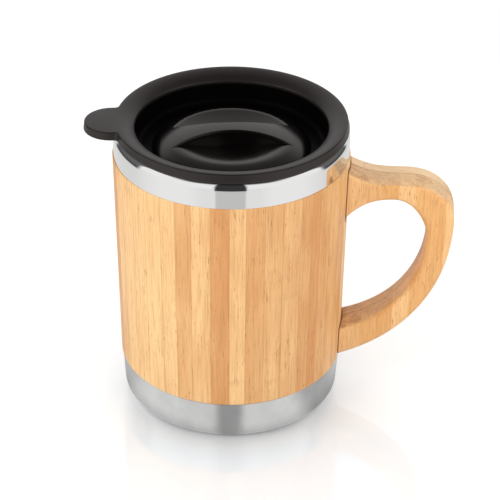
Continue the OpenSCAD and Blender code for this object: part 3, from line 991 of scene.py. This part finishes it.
# %% Turn the bowl
in_low_r = rim_open_r - bowl_draft
stem_hole_r = stem_r + slip_gap
bowl_out_r = skirt_in_r - slip_gap
bowl = turned("bowl", rounded([
    (stem_hole_r, bowl_low_z, 0.1), (bowl_out_r, bowl_low_z, 0.5),
    (bowl_out_r, bowl_top_z, 0.1), (rim_open_r, bowl_top_z, 0.1),
    (in_low_r, bowl_floor_z, bowl_corner_r), (stem_hole_r, bowl_floor_z, 0.1)], 8), steps=256)
cut_low_z = bowl_low_z - cutter_spare
cut_high_z = bowl_floor_z + cutter_spare
cut(bowl, ring_cutter(port_in_r, port_out_r, cut_low_z, cut_high_z, port_half))
cut(bowl, round_cutter(0, vent_y, vent_r, cut_low_z, cut_high_z))
dress(bowl, "lid", "lid_bowl", bowl_black())

# %% [markdown]
# ## The turning closure
# The middle of the lid is a low dome. Two finger scoops leave a bar across it to turn it by. The dome,
# the dish and the bar's steep sides are each a simple height over the plane, and a smooth minimum joins
# them with soft rolls, as a mould's rounded edges would. The mesh's columns run across the bar, and their
# points crowd together at its sides, so the steep sides stay crisp. The soft gasket below is turned, and
# the notch over the port is cut out of both in the same way.

# %% Sizes of the closure
knob_gap = 0.2
knob_edge = 0.6
knob_low_z = bowl_floor_z + knob_gap
dome_low_z = knob_low_z + knob_edge
dome_rise = 7
dome_r = (knob_r ** 2 + dome_rise ** 2) / (2 * dome_rise)
dome_mid_z = dome_low_z + dome_rise - dome_r
rear_dish_r = knob_r - 6.4
front_dish_r = knob_r - 6.1
dish_floor_t = 1.7
dish_low_z = knob_low_z + dish_floor_t
dish_flat_r = 5
dish_lift = 0.25
rear_rise = 1.6
bar_half_w = 3.1
bar_side_r = 53
bar_slope = 6
bar_reach = 1.6
rear_lip_roll = 0.6
front_lip_roll = 0.8
edge_roll = 3.5
edge_drop = 0.5
bar_roll = 1.8
print("dome", dome_r, "dishes", rear_dish_r, front_dish_r)


# %% Heights of the closure
def soft_min(a, b, k):
    """The lower of two heights, with a roll of about k where they meet."""
    h = max(k - abs(a - b), 0) / k
    return min(a, b) - h * h * k / 4


def dome_z(rho):
    over = max(rho - knob_r + edge_roll, 0) / edge_roll
    return dome_mid_z + math.sqrt(dome_r ** 2 - rho ** 2) - edge_drop * over ** 2


def knob_parts(x, y):
    """Heights of the dome, the dish and the bar's side, and how far a place is outside the bar."""
    rho = math.hypot(x, y)
    edge = rear_dish_r if y > 0 else front_dish_r
    share = max(rho - dish_flat_r, 0) / (edge - dish_flat_r)
    rise = share ** rear_rise if y > 0 or share > 1 else share * share * (3 - 2 * share)
    dish = dish_low_z + (dome_z(edge) + dish_lift - dish_low_z) * rise
    outside = bar_side_r - math.hypot(x, bar_half_w + bar_side_r - abs(y))
    return dome_z(rho), dish, dome_z(rho) - bar_slope * outside, outside


def knob_height(x, y):
    dome, dish, wall, outside = knob_parts(x, y)
    at_bar = math.exp(-(outside / bar_reach) ** 2) * min(max(dome - dish, 0), 1)
    lip = front_lip_roll if y < 0 else rear_lip_roll
    return soft_min(dome, max(dish, wall), lip + (bar_roll - lip) * at_bar)


# %% Rows across the closure
halvings = 24
bar_rows = 8
side_rows = 20
dish_rows = 44
bar_inner = 0.7
side_most = 0.6
foot_least = 0.004
foot_most = 0.8


def wall_foot(x, sign, side, reach):
    """How far out the bar's side meets the dish, found by halving the stretch."""
    low, high = side, reach
    for _ in range(halvings):
        middle = (low + high) / 2
        _, dish, wall, _ = knob_parts(x, sign * middle)
        low, high = (middle, high) if wall > dish else (low, middle)
    return low


def knob_rows(x):
    """Places across one column of the closure, with one exactly at the foot of each side of the bar."""
    reach = math.sqrt(max(knob_r ** 2 - x ** 2, 0))
    side = min(bar_half_w + bar_side_r - math.sqrt(bar_side_r ** 2 - x ** 2), side_most * reach)
    halves = []
    for sign in (-1, 1):
        foot = min(max(wall_foot(x, sign, side, reach), side + foot_least * reach), foot_most * reach)
        start = side * bar_inner
        half = [start * k / bar_rows for k in range(bar_rows)]
        half += [start + (foot - start) * k / side_rows for k in range(side_rows)]
        half += [foot + (reach - foot) * k / dish_rows for k in range(dish_rows + 1)]
        halves.append(half)
    return [-y for y in reversed(halves[0][1:])] + halves[1]


print("rows across the middle", len(knob_rows(0)))

# %% Build the closure
under_inset = 0.1
corner_hold = 0.1
stem_step = 1
stem_end_drop = 1.7


def built_knob(columns=239):
    work = bmesh.new()
    turn = Matrix.Rotation(lid_turn, 4, "Z")
    grid = []
    for i in range(columns + 1):
        x = -knob_r * math.cos(math.pi * i / columns)
        grid.append([work.verts.new(turn @ Vector((x, y, knob_height(x, y))) * mm) for y in knob_rows(x)])
    for column, after in zip(grid, grid[1:]):
        for k in range(len(column) - 1):
            work.faces.new((column[k], after[k], after[k + 1], column[k + 1]))
    edge = [column[0] for column in grid] + [column[-1] for column in reversed(grid[1:-1])]
    stem_low_z = bowl_low_z - knob_gap
    under = ((knob_r - under_inset, knob_low_z), (stem_r, knob_low_z), (stem_r, knob_low_z - corner_hold),
             (stem_r, stem_low_z), (stem_r - stem_step, stem_low_z),
             (stem_r - stem_step, bowl_low_z - stem_end_drop))
    last = edge
    for r, z in under:
        ring = []
        for corner in edge:
            way = Vector((corner.co.x, corner.co.y, 0)).normalized()
            ring.append(work.verts.new(way * r * mm + Vector((0, 0, z * mm))))
        for k in range(len(ring)):
            n = (k + 1) % len(ring)
            work.faces.new((last[k], last[n], ring[n], ring[k]))
        last = ring
    work.faces.new(last)
    return as_object("closure", work, 40)


# %% Turn the gasket, and cut the notch
gasket_low, gasket_high = span("closure_gasket")
gasket_low_z = gasket_low.z
gasket_top_z = gasket_high.z
gasket_margins = (7.7, 1.8)
gasket_in_r, gasket_out_r = (knob_r - margin for margin in gasket_margins)
notch_extra_deg = 2
gasket = turned("gasket", rounded([
    (gasket_in_r, gasket_low_z, 0.1), (gasket_out_r, gasket_low_z, 0.1),
    (gasket_out_r, gasket_top_z, 0.2), (gasket_in_r, gasket_top_z, 0.1)], 3), steps=128)
knob = built_knob()
notch_half = port_half + math.radians(notch_extra_deg)
for piece, low_z in ((knob, knob_low_z), (gasket, gasket_low_z)):
    cut(piece, ring_cutter(port_in_r, knob_r + cutter_spare, low_z - cutter_spare, lid_top_z, notch_half))
dress(knob, "closure", "closure_knob", gloss)
dress(gasket, "closure", "closure_gasket", rubber)

# %% [markdown]
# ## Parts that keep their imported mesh
# The support, the screws, their washers and the retainer are already exact and mostly hidden, so each
# keeps its mesh and only gets a better material through its material slot.

# %% Finishes for the hidden parts
def moulded_plastic():
    material, x, y, z = finish("support_plastic", (0.70, 0.67, 0.60), 0.5)
    cloud = patches(x, y, z, 6, 3.0)
    feed(material, Base_Color=mix(cloud, (0.74, 0.71, 0.64), (0.64, 0.61, 0.54)),
         Roughness=0.42 + cloud * 0.2)
    return material


def screw_steel():
    material, x, y, z = finish("screw_steel", (0.62, 0.61, 0.60), 0.3, Metallic=1.0)
    marks = noise(x / 0.15, y / 1.2, z / 1.2, 3.0)
    feed(material, Roughness=0.22 + marks * 0.25, Normal=bumped(marks, 0.004))
    return material


steel_for_screws = screw_steel()
kept = {"liner_support": moulded_plastic(), "handle_screws": steel_for_screws,
        "handle_washers": steel_for_screws, "closure_retainer": rim.data.materials[0]}
for node, material in kept.items():
    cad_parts[node].material_slots[0].material = material
print("kept", sorted(kept))

# %% [markdown]
# ## Floor, world and lamps
# The mug stands on a white sweep between large soft boxes. Polished steel shows the studio, so the studio
# is built into the world and the floor: bright low down and at the sides, dimmer overhead, and darker
# toward the place where a photographer stands. Light Path tells camera rays and glossy rays from the rays
# that light the object, so the picture's white background adds no light. For the camera the far floor
# turns plain white, and it has no horizon.

# %% Settings of the floor
floor_size = 3000
floor_roughness = 0.08
floor_ior = 2.0
floor_pale = 0.92
# The painted contact shadow: how much the floor's own colour darkens near the mug's foot.
painted_shadow_depth = 0.55
shadow_r = 38
shadow_fall = 8
far_white = (180, 340)
floor_glow = 0.05
side_glow = 0.12
near_mug = (60, 130)
side_gap = ((88, 94), (128, 134))
side_gap_dark = 0.9
print("floor", floor_size)


def facing_camera(place):
    """The parts of a place or a direction, turned about Z so that the camera is on the -Y side."""
    return separate(place.node("VectorRotate", {"rotation_type": "Z_AXIS"},
                               {"Vector": place, "Angle": -turn_to_handle}))


# %% What the steel mirrors of the floor
open_level = 0.98
gap_level = 0.64
gap_near_level = 0.44
gap_far = (320, 480)
gap_far_dark = 0.94
gap_spread = 0.26
gap_inset = 6.0
gap_blur = 3
side_far = (300, 450)
foot_edge_r = (40.5, 47)
foot_dark = 0.25
behind_deg = (60, 110)
behind_dark = 0.18
handle_side_deg = (40, 58)
handle_back_deg = (70, 95)
handle_dark = 0.42
left_side_deg = ((62, 84), (98, 112))
left_dark = 0.34
front_deg = (22, 40)
front_shade_dark = 0.08


def mirrored_floor(x, y, away):
    """The floor's level in mirror images: pale, with a dark gap toward the camera and shades at the mug."""
    round_deg = angle(x, 0 - y) * to_deg
    close = 1 - ramp_up(away, *near_mug)
    in_gap = (1 - ramp_up(abs(x) - (0 - y) * gap_spread + gap_inset, -gap_blur, gap_blur)) * (y < 0)
    gap = gap_level - (gap_level - gap_near_level) * close
    gap = gap * (1 - ramp_up(away, *gap_far) * gap_far_dark)
    side = between(abs(round_deg), *side_gap) * ramp_up(away, *side_far)
    handle_shade = ramp_up(round_deg, *handle_side_deg)
    handle_shade = handle_shade * (1 - 0.4 * ramp_up(round_deg, *handle_back_deg)) * close
    left_shade = between(0 - round_deg, *left_side_deg) * close
    front_shade = 1 - ramp_up(abs(round_deg), *front_deg)
    behind = ramp_up(abs(round_deg), *behind_deg) * (1 - close)
    level = open_level - behind_dark * behind - handle_dark * handle_shade
    level = level - left_dark * left_shade - front_shade_dark * front_shade
    level = level * (1 - foot_dark * (1 - ramp_up(away, *foot_edge_r)))
    return level * (1 - side * side_gap_dark) * (1 - in_gap) + gap * in_gap


# %% Colour of the floor
# A painted reflection tint: in front of the mug the floor's own colour loses some red and green, so the
# bamboo's mirror image looks grey.
cool_x = ((-40, -36), (62, 76))
cool_front = (20, 45)
cool_far = (60, 110)
cool_near = (42, 52)
painted_image_tint = (0.10, 0.05, 0.01)


def floor_colour(x, y, away, facing):
    """Pale, with a painted contact shadow at the foot and a painted cool tint where the floor mirrors the
    bamboo.
    """
    fall = 0 - away.math("MAXIMUM", away - shadow_r, 0) / shadow_fall
    shade = fall.math("EXPONENT", fall) * (0.02 + 0.98 * ramp_up(facing, 0.35, 0.95))
    painted_shadow_floor = floor_pale * (1 - painted_shadow_depth * shade)
    image = between(x, *cool_x) * ramp_up(0 - y, *cool_front)
    image = image * (1 - 0.5 * ramp_up(away, *cool_far)) * ramp_up(away, *cool_near)
    return vector(*(painted_shadow_floor * (1 - tint * image) for tint in painted_image_tint))


# %% The floor
def floor_finish():
    material = bpy.data.materials.new("studio_floor")
    material.use_nodes = True
    tree = material.node_tree
    start = Wire(tree, None)
    rays = start.node("LightPath", output="Is Camera Ray")
    glossy = rays.also("Is Glossy Ray")
    x, y = (part * (1 / mm) for part in facing_camera(start.node("TexCoord", output="Object"))[:2])
    away = from_axis(x, y)
    facing = 0 - y / away
    level = rays * (floor_glow + side_glow * (1 - ramp_up(facing, -0.1, 0.6)))
    level = level + glossy * mirrored_floor(x, y, away)
    shader = tree.nodes["Principled BSDF"]
    plug(tree, floor_colour(x, y, away, facing), shader.inputs["Base Color"])
    shader.inputs["Roughness"].default_value = floor_roughness
    shader.inputs["IOR"].default_value = floor_ior
    glow = start.node("Emission", {}, {"Color": (1, 1, 1), "Strength": level})
    base = start.node("AddShader", {}, {0: Wire(tree, shader.outputs[0]), 1: glow})
    only_glow = start.node("MixShader", {}, {0: glossy, 1: base, 2: glow})
    white = start.node("Emission", {}, {"Color": (1, 1, 1), "Strength": 1.0})
    swept = start.node("MixShader", {}, {0: rays * ramp_up(away, *far_white), 1: only_glow, 2: white})
    tree.links.new(swept.socket, tree.nodes["Material Output"].inputs["Surface"])
    return material


work = bmesh.new()
bmesh.ops.create_grid(work, x_segments=1, y_segments=1, size=floor_size / 2 * mm)
floor = as_object("studio_floor", work)
floor.data.materials.append(floor_finish())
print("staged", floor.name)

# %% The world
front_gap_deg = (13, 16)
gap_dark = 0.96
gap_from_height = (-0.2, -0.15)
overhead = ((32, 50, 0.57), (72, 92, 0.40), (125, 150, -0.97))
sky_sides = (0.45, 0.8)
world_light = 0.84

world = bpy.data.worlds.new("studio")
world.use_nodes = True
bpy.context.scene.world = world
tree = world.node_tree
start = Wire(tree, None)
east, north, height = facing_camera(start.node("TexCoord", output="Generated"))
off_camera = abs(angle(east, 0 - north) * to_deg)
gaps = 1 - ramp_up(off_camera, *front_gap_deg) + between(off_camera, *side_gap) * side_gap_dark
lean = angle(height, north) * to_deg
over = sum(change * ramp_up(lean, low_deg, high_deg) for low_deg, high_deg, change in overhead)
sky = 1.0 - over * (1 - ramp_up(abs(east), *sky_sides))
mirrored = sky * (1 - gaps * gap_dark * ramp_up(height, *gap_from_height))
rays = start.node("LightPath", output="Is Camera Ray")
glossy = rays.also("Is Glossy Ray")
level = rays + glossy * mirrored + (1 - rays) * (1 - glossy) * world_light
plug(tree, level, tree.nodes["Background"].inputs["Strength"])
tree.nodes["Background"].inputs["Color"].default_value = (1, 1, 1, 1)
print("world light", world_light)


# %% Two soft boxes
box_size = 800
box_aim = Vector((0, 0, 60))


def soft_box(name, spot, power):
    lamp_data = bpy.data.lights.new(name, "AREA")
    lamp_data.size = box_size * mm
    lamp_data.energy = power
    lamp = bpy.data.objects.new(name, lamp_data)
    bpy.context.scene.collection.objects.link(lamp)
    lamp.location = Vector(spot) * mm
    lamp.rotation_mode = "QUATERNION"
    lamp.rotation_quaternion = (lamp.location - box_aim * mm).to_track_quat("Z", "Y")
    lamp.visible_glossy = False


soft_box("left_box", (-850, -560, 700), 6.4)
soft_box("right_box", (820, -620, 640), 5.0)
